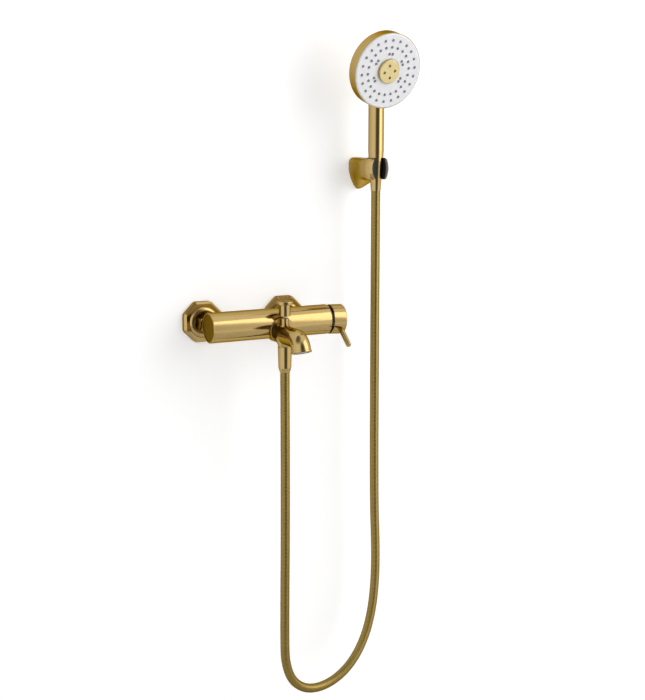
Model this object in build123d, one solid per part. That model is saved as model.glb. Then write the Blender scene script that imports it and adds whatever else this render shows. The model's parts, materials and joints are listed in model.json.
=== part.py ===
from build123d import *
import os
from math import cos, pi, radians, sin, sqrt, tan

# Bath shower mixer for a wall, in millimetres, +Z up and +X to the right. The wall is the plane Y = 0 and the
# mixer stands out of it towards -Y. The origin is on the wall, midway between the hot and the cold inlet.

# Clearances and small shared sizes
running = 0.05          # radial play of a shaft or spindle in its bearing
seat = 0.1              # play of a piece that sits still in its pocket
touch = 0.05            # gap between two flat faces that slide or press on each other
overrun = 2.0           # how far a cut runs past the face that it leaves
tiny_edge = 0.4         # broken edge on turned pieces

# Inlets: a straight union from the wall to the mixer on each side, under an octagonal cover
inlet_spacing = 150.0
wall_thread_r = 10.48   # G 1/2 male
wall_thread_length = 18.0
union_thread_r = 13.22  # G 3/4 male
union_bore_r = 7.5
union_hex_flats = 24.0
union_hex_start = 2.0
union_hex_length = 7.0
union_face = 30.0       # distance of the union's sealing face from the wall
flange_flats = 68.0
flange_thickness = 12.0
flange_bevel = 3.5
flange_corner = 8.0
flange_wall = 2.6
flange_ring_r = 22.5
flange_ring_inner_r = 16.8
flange_ring_height = 4.0
flange_ring_edge = 1.2
inlet_washer_thickness = 2.0
inlet_washer_r = 12.2
nut_flats = 31.0
nut_start = 19.0
nut_lip = 3.3
nut_chamfer = 1.2
spigot_r = 11.0
spigot_bore_r = 8.0
spigot_collar_r = 12.7
spigot_collar_length = 3.0
valve_length = 12.0
valve_wall = 1.6

# Mixer body: one tube along X
body_stand_off = 74.0
body_r = 25.0
body_front = body_stand_off + body_r
body_left = -93.0
body_right = 121.0
body_edge = 0.8
end_cap_r = 22.4
end_cap_depth = 4.0
end_cap_recess = 0.8
end_cap_plug_r = 18.0
end_cap_plug_length = 7.0
end_cap_edge = 0.7

# Ceramic cartridge in the right end of the body
cartridge_bore_r = 17.6
cartridge_r = 17.5
cartridge_wall = 3.2
cartridge_base = 4.0
cartridge_start = 80.0
cartridge_neck_r = 15.6
cartridge_neck_start = 112.0
cartridge_end = 116.0
port_r = 3.2
port_circle_r = 8.5
port_count = 3
cartridge_nut_r = 20.0
cartridge_nut_length = 5.8
trim_ring_r = 19.4
trim_ring_length = 6.2
trim_flange_r = 24.0
trim_flange_thickness = 1.4
trim_ring_hole_r = 9.5
trim_ring_top_r = 13.5
trim_ring_wall = 2.0
disc_thickness = 3.5
fixed_disc_r = 14.1
moving_disc_r = 11.0
slider_r = 11.0
slider_end = 106.4
carrier_start = 107.0
pivot_x = 114.0         # where the stem is pinned
pivot_pin_r = 1.5
pivot_pin_length = 24.0
stem_r = 4.5
stem_ball_r = 3.4
stem_ball_arm = 10.0
stem_reach = 30.0
stem_slot_play = 1.8

# Handle: a cap that carries the lever and tilts on the stem's pin
cap_r = 25.0
cap_gap = 5.5           # gap to the body when the cap stands square
cap_length = 23.5
cap_cavity_r = 21.8
cap_cavity_depth = 8.5
cap_edge = 2.2
lever_angle = 40.0      # degrees below straight out of the wall
rest_tilt = 4.0         # degrees that the closed lever leans towards the body
lever_r = 4.5
lever_tip = 61.0
lever_root = 9.0
lever_offset = 26.0     # from the pivot, along the cap
lever_round_share = 0.6  # of the lever's radius, at its tip
set_screw_r = 2.0
set_screw_length = 9.0
hex_socket_flats = 2.0
hex_socket_depth = 3.0

# Spout with the diverter on top and the hose outlet below
spout_x = 28.0
spout_axis_z = -15.0
spout_r = 15.5
spout_bore_r = 11.5
spout_bend_r = 21.0
spout_turn = 72.0       # degrees, from straight out to down
spout_run = 41.0        # from the upright line to the start of the bend
spout_lip_length = 6.0
spout_lip_r = 16.3
spout_lip_band = 3.2
spout_lip_edge = 0.9
boss_r = 22.0
boss_z = -9.0
boss_stand = 2.0        # how far the boss's face stands out of the body
boss_depth = 22.0
boss_edge = 0.8
spout_spigot_r = 12.5
spout_spigot_length = 13.0
spout_seal_section_r = 0.9
spout_seal_place = 5.0
water_way_r = 6.0
outlet_gap = 8.0        # from the body's front to the upright line through knob, rod and hose
outlet_d = body_front + outlet_gap
outlet_cone_top_r = 15.8
outlet_cone_top = -19.0
outlet_cone_bottom_r = 10.8
outlet_cone_bottom = -34.0
chamber_r = 7.0
chamber_bottom = -26.3
chamber_top = -4.0
bore_wall = 9.0         # from the upright line to the start of the spout's bore
aerator_pocket_r = 13.6
aerator_depth = 7.0
aerator_ring_wall = 2.0
aerator_hole_r = 0.9
aerator_hole_pitch = 3.0
aerator_ring_counts = (6, 12, 18)
aerator_insert_length = 4.0
aerator_washer_length = 1.6

# Diverter: a knob on a rod that lifts a piston in the chamber
rod_r = 2.5
rod_bottom = -29.5
gland_r = 6.6
gland_top = 13.0
gland_thread_r = 5.0
gland_collar_r = 7.5
gland_collar_height = 2.2
gland_base = 0.6
gland_pad_wall = 0.6
knob_stem_r = 9.5
knob_bottom = 16.0
knob_shoulder = 35.2
knob_top = 41.0
knob_r = 14.75
knob_edge = 1.1
knob_socket = 14.0
piston_length = 5.0
piston_top = -19.0
piston_seal_length = 2.0
piston_nut_r = 4.2
piston_nut_length = 3.0

# Hose outlet nipple and the nuts, washers and tails at the two ends of the hose
hose_thread_r = 10.4    # G 1/2 male
hose_r = 7.8
hose_bore_r = 4.2
nipple_top_r = 8.0
nipple_top_length = 6.5
nipple_length = 11.0
nipple_bore_r = 5.0
lower_nut_r = 11.5
lower_nut_waist_r = 10.7
lower_nut_top = -34.3
lower_nut_waist = -70.0
lower_nut_bottom = -77.0
nut_mouth_r = 8.3
hose_washer_thickness = 2.0
hose_washer_r = 9.9
tail_collar_r = 9.6
tail_collar_length = 3.0
tail_r = 6.6
upper_nut_r = 12.3
upper_nut_waist_r = 8.8
upper_nut_top = 262.0
upper_nut_waist = 220.0
upper_nut_bottom = 212.3

# Wall holder for the handset
holder_x = 221.4
holder_axis_d = 65.0    # distance of the handset's axis from the wall
holder_top = 267.0
cup_bottom = 231.5
cup_belly_z = 249.0     # height of the cup's widest place
cup_r = 21.5
cup_top_r = 18.2
cup_bottom_r = 17.3
cup_mouth_d = 15.0      # in front of this distance from the axis the cup is black plastic
arm_half_width = 14.0
arm_shoulder_z = 261.0  # where the arm's sides begin to draw in
arm_tip_half_width = 1.8
arm_tip_z = 213.0
arm_tip_d = 14.0
arm_heel_z = 221.0      # height of the arm's lowest place on the wall
arm_tip_edge = 5.0
holder_edge = 1.6
liner_wall = 3.0
liner_slot = 16.6
liner_cheek = 2.2
liner_rise = 0.6
cone_play = 0.3
bracket_width = 20.0
bracket_height = 11.0
bracket_depth = 9.0
bracket_z = 258.0
bracket_screw_pitch = 10.0
holder_screw_r = 2.0
holder_thread_r = 2.2
holder_screw_head_r = 3.8
holder_screw_length = 34.0
grub_screw_r = 1.5
grub_screw_length = 8.0
grub_screw_d = 5.0

# Handset: a stick handle with a round head that leans forward
handset_turn = 3.0      # degrees, head turned to the right at rest
head_lean = 16.0        # degrees below straight out of the wall
face_centre_z = 410.0
face_forward = 36.5     # from the handle's axis to the middle of the spray face, level
handle_r = 13.2
handle_wall = 2.0
handle_taper_start = 280.0
handle_bottom_r = 12.3
handle_stop = 14.0      # from the top of the handle's straight side up to the middle of the face
inner_tube_r = 8.4
inner_tube_wall = 1.4
head_r = 63.0
head_rim = 20.0         # depth of the straight side of the head
head_dome = 15.0        # rise of the domed back
head_wall = 2.2
head_edge = 3.0
face_inset = 1.1
face_play = 0.3
face_thickness = 3.2
face_edge = 2.4
face_recess_gap = 2.0        # from the jet's side to the rim of its well
face_recess_depth = 0.9
face_hub_r = 10.0
face_hub_length = 12.0
pad_thickness = 1.4
pad_inset = 4.8
nozzle_foot_r = 2.3
nozzle_tip_r = 1.7
nozzle_stand = 1.3
outer_ring_share = 0.810     # of the head's radius
outer_ring_count = 22
middle_ring_share = 0.627
middle_ring_count = 22
inner_ring_share = 0.452
inner_pair_count = 5
inner_pair_spread = 12.0     # degrees from one nozzle of a pair to the other
inner_pair_pitch = 60.0      # degrees from one pair to the next
jet_share = 0.3095
jet_height = 4.2
jet_edge = 1.2
jet_hole_r = 2.5
jet_hole_circle_share = 0.159
jet_hole_depth = 3.0
jet_hole_turn = 10.0         # degrees
jet_hole_count = 4
water_plate_thickness = 3.0
water_plate_gap = 0.6
hub_screw_r = 2.0
hub_screw_head_r = 3.8
hub_screw_head = 2.4
hub_screw_length = 12.0
check_valve_r = 5.2
check_valve_length = 9.0

os.makedirs("parts", exist_ok=True)


# Frames
def out_of_wall(x, z=0):
    """Local z is the distance from the wall, local x is +X and local y is +Z."""
    return Plane(origin=(x, 0, z), x_dir=(1, 0, 0), z_dir=(0, -1, 0))


def upright(x, d, z=0, turn=0):
    """Local z is +Z; the local x axis is turned from +X by turn degrees."""
    return Plane(origin=(x, -d, z), x_dir=(cos(radians(turn)), sin(radians(turn)), 0), z_dir=(0, 0, 1))


lever_y, lever_z = -cos(radians(lever_angle)), -sin(radians(lever_angle))
# Local z runs along the body to the right and local x points where the lever points.
body_line = Plane(origin=(0, -body_stand_off, 0), x_dir=(0, lever_y, lever_z), z_dir=(1, 0, 0))
tilted_x = Vector(-sin(radians(rest_tilt)), lever_y * cos(radians(rest_tilt)), lever_z * cos(radians(rest_tilt)))
tilted_z = Vector(cos(radians(rest_tilt)), lever_y * sin(radians(rest_tilt)), lever_z * sin(radians(rest_tilt)))
# The same frame at the stem's pivot, leaning by the rest tilt.
handle_line = Plane(origin=(pivot_x, -body_stand_off, 0), x_dir=tilted_x, z_dir=tilted_z)

face_x = holder_x + face_forward * sin(radians(handset_turn))
face_d = holder_axis_d + face_forward * cos(radians(handset_turn))
# Local z is the head's axis, out of the face, and local y points up the face.
face_plane = Plane(
    origin=(face_x, -face_d, face_centre_z),
    x_dir=(cos(radians(handset_turn)), sin(radians(handset_turn)), 0),
    z_dir=(
        sin(radians(handset_turn)) * cos(radians(head_lean)),
        -cos(radians(handset_turn)) * cos(radians(head_lean)),
        -sin(radians(head_lean)),
    ),
)


# Shapes that several pieces use
def rod(radius, start, end):
    """A solid cylinder on the local z axis from start to end."""
    return Pos(0, 0, start) * Cylinder(radius, end - start, align=(Align.CENTER, Align.CENTER, Align.MIN))


def ring(outer, inner, start, end):
    return rod(outer, start, end) - rod(inner, start - overrun, end + overrun)


def cone(bottom_r, top_r, start, end):
    return Pos(0, 0, start) * Cone(bottom_r, top_r, end - start, align=(Align.CENTER, Align.CENTER, Align.MIN))


def prism(flats, sides, start, end):
    """A regular prism that measures flats from one side to the opposite side, with a flat at the top."""
    outline = RegularPolygon(flats / 2, sides, major_radius=False, rotation=180 / sides)
    return Pos(0, 0, start) * extrude(outline, end - start)


def turned(points):
    """A solid turned round the local z axis from a closed outline of (radius, height) points."""
    outline = make_face(Polyline([(r, 0, z) for r, z in points], close=True))
    return revolve(outline, Axis.Z, 360)


def edges_at(solid, z, radius=None):
    """The round edges that lie at the local height z, and have the radius if it is given."""
    found = solid.edges().filter_by(GeomType.CIRCLE).filter_by_position(Axis.Z, z - tiny_edge / 4, z + tiny_edge / 4)
    if radius is None:
        return found
    return found.filter_by(lambda e: abs(e.radius - radius) < tiny_edge / 4)


def hex_socket(flats, depth, end):
    """The cut for a hexagon key that goes depth deep from end, along local z."""
    return prism(flats, 6, end - depth, end + overrun)


# Inlet pieces, in out_of_wall frames
def union():
    """Straight wall union: wall thread, hexagon and mixer thread, bored through."""
    solid = rod(wall_thread_r, -wall_thread_length, union_hex_start)
    solid += prism(union_hex_flats, 6, union_hex_start, union_hex_start + union_hex_length)
    solid += rod(union_thread_r, union_hex_start + union_hex_length, union_face)
    solid = chamfer(edges_at(solid, -wall_thread_length), tiny_edge)
    solid = chamfer(edges_at(solid, union_face), tiny_edge)
    return solid - rod(union_bore_r, -wall_thread_length - overrun, union_face + overrun)


def flange():
    """Hollow octagonal cover with rounded corners, a bevelled front edge and a raised ring."""
    solid = prism(flange_flats, 8, 0, flange_thickness)
    solid = fillet(solid.edges().filter_by(Axis.Z), flange_corner)
    front = solid.faces().sort_by(Axis.Z)[-1]
    solid = chamfer(front.edges(), flange_bevel)
    solid += rod(flange_ring_r, flange_thickness, flange_thickness + flange_ring_height)
    top = flange_thickness + flange_ring_height
    solid = fillet(edges_at(solid, top, flange_ring_r), flange_ring_edge)
    solid -= rod(flange_ring_inner_r, flange_thickness, top + overrun)
    inner_flats = flange_flats - 2 * (flange_bevel + flange_wall)
    solid -= prism(inner_flats, 8, -overrun, flange_thickness - flange_wall)
    return solid - rod(union_thread_r + 2 * seat, 0, top + overrun)


spigot_face = union_face + inlet_washer_thickness
nut_end = spigot_face + spigot_collar_length + seat + nut_lip


def union_nut():
    """Hexagon nut held behind the spigot's collar."""
    solid = prism(nut_flats, 6, nut_start, nut_end)
    hex_r = nut_flats / sqrt(3)
    rounding = rod(hex_r, nut_start, nut_end)
    rounding = chamfer(rounding.edges().filter_by(GeomType.CIRCLE), nut_chamfer)
    solid &= rounding
    solid -= rod(union_thread_r + running, nut_start - overrun, nut_end - nut_lip)
    return solid - rod(spigot_r + 2 * seat, nut_start, nut_end + overrun)


def inlet_washer():
    return ring(inlet_washer_r, union_bore_r, union_face, spigot_face)


def check_valve(radius, length, wall):
    """Non-return valve: a sleeve with a spider that guides a small plunger."""
    sleeve = ring(radius, radius - wall, 0, length)
    spider = Box(2 * radius - wall, wall, wall, align=(Align.CENTER, Align.CENTER, Align.MIN))
    spider += Box(wall, 2 * radius - wall, wall, align=(Align.CENTER, Align.CENTER, Align.MIN))
    plunger = rod(radius - 2 * wall, length - wall, length) + rod(wall / 2, 0, length)
    return sleeve + spider + plunger


# Mixer body and its ends
def mixer_body():
    """The tube with its two inlet spigots, the socket for the spout and the bored ends."""
    tube = rod(body_r, body_left, body_right)
    tube = chamfer(tube.edges().filter_by(GeomType.CIRCLE), body_edge)
    solid = body_line * tube
    for side in (-1, 1):
        frame = out_of_wall(side * inlet_spacing / 2)
        solid += frame * rod(spigot_r, spigot_face, body_stand_off)
        solid += frame * rod(spigot_collar_r, spigot_face, spigot_face + spigot_collar_length)
        solid -= frame * rod(spigot_bore_r, spigot_face - overrun, body_stand_off)
    solid -= body_line * rod(cartridge_bore_r, cartridge_start, body_right + overrun)
    nut_pocket = body_right - cartridge_neck_start
    solid -= body_line * rod(cartridge_nut_r + seat, body_right - nut_pocket, body_right + overrun)
    solid -= body_line * rod(end_cap_r + seat, body_left - overrun, body_left + end_cap_depth)
    solid -= body_line * rod(end_cap_plug_r + seat, body_left, body_left + end_cap_depth + end_cap_plug_length)
    spout_frame = out_of_wall(spout_x, spout_axis_z)
    solid -= spout_frame * rod(spout_spigot_r + seat, boss_face - spout_spigot_length - seat, boss_face + overrun)
    solid -= spout_frame * rod(water_way_r, body_stand_off, boss_face)
    return solid


def end_cap():
    """Round plug that closes the left end, a little below the body's rim."""
    solid = rod(end_cap_r, body_left + end_cap_recess, body_left + end_cap_depth)
    solid = chamfer(edges_at(solid, body_left + end_cap_recess), end_cap_edge)
    plug_end = body_left + end_cap_depth + end_cap_plug_length - seat
    solid += rod(end_cap_plug_r, body_left + end_cap_depth, plug_end)
    cup_r = end_cap_plug_r - cartridge_wall
    return body_line * (solid - rod(cup_r, body_left + end_cap_depth, plug_end + overrun))


# Cartridge, on the body's axis
disc_start = cartridge_start + cartridge_base + touch
moving_disc_start = disc_start + disc_thickness + touch
slider_start = moving_disc_start + disc_thickness


def port_cuts(start, end):
    """Hot, cold and mixed water ports."""
    cuts = Part()
    for place in range(port_count):
        angle = radians(360 * place / port_count)
        spot = Pos(port_circle_r * cos(angle), port_circle_r * sin(angle), 0)
        cuts += spot * rod(port_r, start, end)
    return cuts


def cartridge_housing():
    inner_r = cartridge_r - cartridge_wall
    solid = rod(cartridge_r, cartridge_start + touch, cartridge_neck_start)
    solid += rod(cartridge_neck_r, cartridge_neck_start, cartridge_end)
    solid -= rod(inner_r, cartridge_start + cartridge_base, cartridge_end + overrun)
    return body_line * (solid - port_cuts(cartridge_start - overrun, disc_start))


def fixed_disc():
    solid = rod(fixed_disc_r, disc_start, disc_start + disc_thickness)
    return body_line * (solid - port_cuts(disc_start - overrun, disc_start + disc_thickness + overrun))


rest_slide = -stem_ball_arm * sin(radians(rest_tilt))
ball_x = pivot_x - stem_ball_arm


def moving_disc():
    """The upper disc, with a shallow chamber that joins the ports; it slides under the lever's pull."""
    solid = rod(moving_disc_r, moving_disc_start, slider_start)
    solid -= rod(moving_disc_r - cartridge_wall, moving_disc_start - overrun, moving_disc_start + disc_thickness / 2)
    return body_line * Pos(rest_slide, 0, 0) * solid


def disc_slider():
    """Carrier block of the moving disc, with the socket for the stem's ball."""
    solid = rod(slider_r, slider_start, slider_end)
    socket = rod(stem_ball_r + running, ball_x - stem_ball_r - seat, slider_end + overrun)
    return body_line * Pos(rest_slide, 0, 0) * (solid - socket)


def stem_carrier():
    """Round block that turns in the housing and holds the pivot pin; the stem passes through its slot."""
    carrier_r = cartridge_r - cartridge_wall - running
    solid = rod(carrier_r, carrier_start, cartridge_end)
    length = 2 * (stem_r + stem_slot_play)
    width = 2 * (stem_r + running)
    middle = (carrier_start + cartridge_end) / 2
    depth = cartridge_end - carrier_start + 2 * overrun
    solid -= Pos(0, 0, middle) * Box(length, width, depth)
    pin_hole = Rot(90, 0, 0) * Cylinder(pivot_pin_r + seat / 10, 2 * carrier_r + overrun)
    return body_line * (solid - Pos(0, 0, pivot_x) * pin_hole)


def pivot_pin():
    """The cross pin that the stem tilts on."""
    return body_line * Pos(0, 0, pivot_x) * Rot(90, 0, 0) * Cylinder(pivot_pin_r, pivot_pin_length)


def cartridge_nut():
    """Threaded ring that presses the cartridge home, with four key slots."""
    start = cartridge_neck_start + touch
    end = start + cartridge_nut_length
    solid = ring(cartridge_nut_r, cartridge_neck_r + seat, start, end)
    slot_width = cartridge_nut_r - cartridge_neck_r
    slot = Box(3 * cartridge_nut_r, slot_width, cartridge_nut_length / 2, align=(Align.CENTER, Align.CENTER, Align.MIN))
    for turn in (0, 90):
        solid -= Pos(0, 0, end - cartridge_nut_length / 2) * Rot(0, 0, turn) * slot
    return body_line * solid


def trim_ring():
    """Dark domed ring between body and handle cap, with a thin flange over the body's end."""
    start = cartridge_neck_start + cartridge_nut_length + 2 * touch
    end = body_right + trim_ring_length
    outline = [
        (trim_ring_hole_r, end),
        (trim_ring_top_r, end),
        (trim_ring_r - trim_ring_wall / 2, body_right + trim_ring_length / 2),
        (trim_ring_r, body_right + trim_flange_thickness),
        (trim_flange_r, body_right + trim_flange_thickness),
        (trim_flange_r, body_right + touch),
        (trim_ring_r, body_right + touch),
        (trim_ring_r, start),
        (trim_ring_r - trim_ring_wall, start),
        (trim_ring_r - trim_ring_wall, body_right),
        (trim_ring_top_r - trim_ring_wall, end - trim_ring_wall),
        (trim_ring_hole_r, end - trim_ring_wall),
    ]
    return body_line * turned(outline)


# Handle pieces, in the tilted frame at the pivot
cap_start = body_right + cap_gap - pivot_x
cap_end = cap_start + cap_length
cap_floor = cap_start + cap_cavity_depth
lever_frame = Pos(0, 0, lever_offset) * Rot(0, 90 - rest_tilt, 0)
screw_frame = Pos(0, 0, lever_offset) * Rot(-90, 0, 0)


def cartridge_stem():
    """Spindle with its ball end, pinned at the pivot."""
    solid = rod(stem_r, -stem_ball_arm / 2, stem_reach)
    solid += rod(stem_ball_r / sqrt(2), -stem_ball_arm, -stem_ball_arm / 2)
    solid += Pos(0, 0, -stem_ball_arm) * Sphere(stem_ball_r)
    hole = Rot(90, 0, 0) * Cylinder(pivot_pin_r + running, 2 * stem_r + overrun)
    return handle_line * (solid - hole)


def handle_cap():
    """Cap of the same diameter as the body, hollow where it turns over the trim ring."""
    solid = rod(cap_r, cap_start, cap_end)
    solid = fillet(edges_at(solid, cap_end), cap_edge)
    solid = chamfer(edges_at(solid, cap_start), tiny_edge)
    solid -= rod(cap_cavity_r, cap_start - overrun, cap_floor)
    solid -= rod(stem_r + touch, cap_floor - overrun, stem_reach + touch)
    solid -= lever_frame * rod(lever_r + touch, lever_root, 2 * cap_r)
    solid -= screw_frame * rod(set_screw_r + touch, 0, 2 * cap_r)
    return handle_line * solid


def lever():
    """Round pin lever, rounded at its tip and screwed into the cap at its root."""
    solid = rod(lever_r, lever_root + touch, lever_tip)
    return handle_line * lever_frame * fillet(edges_at(solid, lever_tip), lever_round_share * lever_r)


def set_screw():
    start = stem_r + touch
    solid = rod(set_screw_r, start, start + set_screw_length)
    solid -= hex_socket(hex_socket_flats, hex_socket_depth, start + set_screw_length)
    return handle_line * screw_frame * solid


# Spout
boss_face = body_front + boss_stand
bore_start = outlet_d + bore_wall
spout_bend_start = outlet_d + spout_run
turn_angle = radians(spout_turn)
bend_tangent = spout_bend_r * tan(turn_angle / 2)
corner_d = spout_bend_start + bend_tangent
end_reach = bend_tangent + spout_lip_length
mouth_d = corner_d + end_reach * cos(turn_angle)
mouth_z = spout_axis_z - end_reach * sin(turn_angle)
mouth_out = Vector(0, -cos(turn_angle), -sin(turn_angle))


def spout_line(start_d):
    """Centre line of the spout from a distance off the wall to the mouth."""
    points = [
        (spout_x, -start_d, spout_axis_z),
        (spout_x, -corner_d, spout_axis_z),
        (spout_x, -mouth_d, mouth_z),
    ]
    return FilletPolyline(*points, radius=spout_bend_r)


def bent_rod(radius, start_d):
    path = spout_line(start_d)
    section = Plane(origin=path @ 0, x_dir=(1, 0, 0), z_dir=path % 0) * Circle(radius)
    return sweep(section, path)


def at_mouth():
    """Frame in the spout's mouth; local z points out of it."""
    return Plane(origin=(spout_x, -mouth_d, mouth_z), x_dir=(1, 0, 0), z_dir=mouth_out)


def spout():
    """Collar on the body, neck, bend and lip, with the diverter chamber, the hose outlet cone and the water ways."""
    collar = rod(boss_r, boss_face - boss_depth, boss_face)
    solid = out_of_wall(spout_x, boss_z) * fillet(edges_at(collar, boss_face), boss_edge)
    solid += bent_rod(spout_r, boss_face - overrun)
    lip = rod(spout_lip_r, -spout_lip_band, 0)
    lip = fillet(lip.edges().filter_by(GeomType.CIRCLE), spout_lip_edge / 2)
    solid += at_mouth() * lip
    column = upright(spout_x, outlet_d)
    solid += column * rod(gland_collar_r + gland_pad_wall, spout_axis_z, gland_base)
    solid += column * cone(outlet_cone_bottom_r, outlet_cone_top_r, outlet_cone_bottom, outlet_cone_top)
    solid -= body_line * rod(body_r + touch, body_left - overrun, body_right + overrun)
    neck = out_of_wall(spout_x, spout_axis_z)
    solid += neck * rod(spout_spigot_r, boss_face - spout_spigot_length, boss_face)
    seal_d = boss_face - spout_seal_place
    groove_r = spout_spigot_r - spout_seal_section_r
    solid -= neck * ring(
        spout_spigot_r + overrun, groove_r - spout_seal_section_r, seal_d - spout_seal_section_r,
        seal_d + spout_seal_section_r,
    )
    solid -= bent_rod(spout_bore_r, bore_start)
    solid -= at_mouth() * rod(aerator_pocket_r, -aerator_depth, overrun)
    solid -= neck * rod(water_way_r, boss_face - spout_spigot_length - overrun, bore_start + overrun)
    solid -= column * rod(chamber_r, chamber_bottom, chamber_top)
    solid -= column * rod(gland_thread_r + touch, chamber_top - overrun, gland_base + overrun)
    solid -= column * rod(gland_collar_r + seat, gland_base, boss_z + boss_r + overrun)
    solid -= column * rod(nipple_bore_r, outlet_cone_bottom - overrun, chamber_bottom + overrun)
    return solid - column * rod(nipple_top_r + touch, outlet_cone_bottom - overrun, outlet_cone_bottom + nipple_top_length)


def spout_seal():
    """Ring seal in the groove of the spout's spigot."""
    ring_r = spout_spigot_r - spout_seal_section_r
    place = out_of_wall(spout_x, spout_axis_z) * Pos(0, 0, boss_face - spout_seal_place)
    return place * Torus(ring_r, spout_seal_section_r - seat / 2)


aerator_r = aerator_pocket_r - touch


def aerator_ring():
    solid = ring(aerator_r, aerator_r - aerator_ring_wall, -aerator_depth + aerator_washer_length, tiny_edge)
    return at_mouth() * solid


def aerator_insert():
    """Round grid of small jets."""
    insert_r = aerator_r - aerator_ring_wall - touch
    end = -spout_lip_edge
    start = end - aerator_insert_length
    solid = rod(insert_r, start, end)
    for number, count in enumerate(aerator_ring_counts):
        radius = aerator_hole_pitch * (number + 1)
        for place in range(count):
            angle = radians(360 * place / count)
            solid -= Pos(radius * cos(angle), radius * sin(angle), 0) * rod(aerator_hole_r, start - overrun, end + overrun)
    return at_mouth() * solid


def aerator_washer():
    end = -aerator_depth + aerator_washer_length - touch
    return at_mouth() * ring(aerator_r, aerator_r - aerator_ring_wall, -aerator_depth + touch, end)


# Diverter, on the upright line through the spout
def diverter_gland():
    """Guide tube of the rod, screwed into the top of the spout."""
    solid = rod(gland_thread_r, chamber_top, gland_base)
    solid += rod(gland_collar_r, gland_base + touch / 2, gland_base + gland_collar_height)
    solid = solid + rod(gland_r, gland_base, gland_top)
    solid = chamfer(edges_at(solid, gland_top), tiny_edge)
    return upright(spout_x, outlet_d) * (solid - rod(rod_r + running, chamber_top - overrun, gland_top + overrun))


def diverter_rod():
    return upright(spout_x, outlet_d) * rod(rod_r, rod_bottom, knob_bottom + knob_socket)


def diverter_knob():
    """Flat round knob on a stem."""
    disc = rod(knob_r, knob_shoulder, knob_top)
    disc = fillet(disc.edges().filter_by(GeomType.CIRCLE), knob_edge)
    stem = chamfer(edges_at(rod(knob_stem_r, knob_bottom, knob_shoulder + knob_edge), knob_bottom), tiny_edge)
    solid = disc + stem
    return upright(spout_x, outlet_d) * (solid - rod(rod_r + touch, knob_bottom - overrun, knob_bottom + knob_socket + touch))


piston_bottom = piston_top - piston_length


def diverter_piston():
    solid = rod(chamber_r - 2 * running, piston_bottom, piston_top)
    solid = chamfer(edges_at(solid, piston_top), tiny_edge)
    return upright(spout_x, outlet_d) * (solid - rod(rod_r + touch, piston_bottom - overrun, piston_top + overrun))


def piston_seal():
    solid = ring(chamber_r - seat - 2 * running, rod_r + touch, piston_bottom - piston_seal_length, piston_bottom - touch)
    return upright(spout_x, outlet_d) * solid


def piston_nut():
    end = piston_bottom - piston_seal_length - touch
    return upright(spout_x, outlet_d) * ring(piston_nut_r, rod_r + touch, end - piston_nut_length, end)


# Hose and its end pieces
def hose_nipple():
    """Double male nipple under the spout: it carries the hose nut."""
    bottom = outlet_cone_bottom - nipple_length
    solid = rod(nipple_top_r, outlet_cone_bottom, outlet_cone_bottom + nipple_top_length - seat)
    solid += rod(hose_thread_r, bottom, outlet_cone_bottom - touch)
    solid += rod(nipple_top_r, outlet_cone_bottom - overrun, outlet_cone_bottom)
    solid = chamfer(edges_at(solid, bottom), tiny_edge)
    return upright(spout_x, outlet_d) * (solid - rod(nipple_bore_r, bottom - overrun, outlet_cone_bottom + nipple_top_length))


def hose_nut(top_r, waist_r, top, waist, bottom, thread_depth, collar_depth):
    """Slim nut that tapers to the hose: thread at the top, room for the tail's collar, then a close mouth."""
    inner_r = hose_thread_r + running
    outline = [
        (inner_r, top),
        (top_r - tiny_edge, top),
        (top_r, top - tiny_edge),
        (waist_r, waist),
        (nut_mouth_r, bottom),
        (tail_r + seat, bottom),
        (tail_r + seat, top - thread_depth - collar_depth),
        (inner_r, top - thread_depth - collar_depth),
    ]
    return turned(outline)


def hose_washer(top):
    return ring(hose_washer_r, nipple_bore_r, top - hose_washer_thickness, top)


def hose_tail(top, bottom):
    """Crimped insert of the hose, which the nut pulls up by its collar."""
    solid = rod(tail_collar_r, top - tail_collar_length, top) + rod(tail_r, bottom, top)
    return solid - rod(hose_bore_r, bottom - overrun, top + overrun)


nipple_bottom = outlet_cone_bottom - nipple_length
lower_tail_top = nipple_bottom - hose_washer_thickness - touch
upper_thread_bottom = upper_nut_top - nipple_length
upper_tail_top = upper_thread_bottom - hose_washer_thickness - touch
thread_depth = nipple_length + hose_washer_thickness + 2 * touch

# The hose hangs in one loop between the nuts. Its corner points are (x, distance from wall, z); those of the loop
# are chosen by hand.
hose_points = [
    (spout_x, outlet_d, lower_nut_bottom),
    (spout_x, outlet_d, -300.0),
    (25.4, 105.4, -548.0),
    (27.5, 105.0, -590.0),
    (42.0, 102.2, -626.0),
    (73.0, 96.2, -649.0),
    (112.0, 88.7, -653.5),
    (150.0, 81.4, -642.0),
    (181.0, 75.4, -618.0),
    (205.0, 70.8, -580.0),
    (219.0, 68.1, -533.0),
    (225.0, 67.0, -478.0),
    (225.4, 66.9, -418.0),
    (221.5, 66.6, -330.0),
    (holder_x, holder_axis_d, -60.0),
    (holder_x, holder_axis_d, upper_nut_bottom - cone_play),
]
arc_share = 0.45


def hose():
    """Straight runs joined by tangent arcs, each as large as its two runs allow."""
    corners = [Vector(x, -d, z) for x, d, z in hose_points]
    radii = []
    for before, corner, after in zip(corners, corners[1:], corners[2:]):
        turn = (corner - before).get_angle(after - corner)
        shorter = min((corner - before).length, (after - corner).length)
        radii.append(arc_share * shorter / tan(radians(turn) / 2))
    print("hose bend radii", [round(r) for r in radii])
    path = FilletPolyline(*corners, radius=radii)
    section = Plane(origin=path @ 0, x_dir=(1, 0, 0), z_dir=path % 0) * Circle(hose_r)
    tube = sweep(section, path)
    print("hose length", round(path.length, 1), "volume over section times length",
          round(tube.volume / (pi * hose_r ** 2 * path.length), 4))
    return tube


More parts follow.
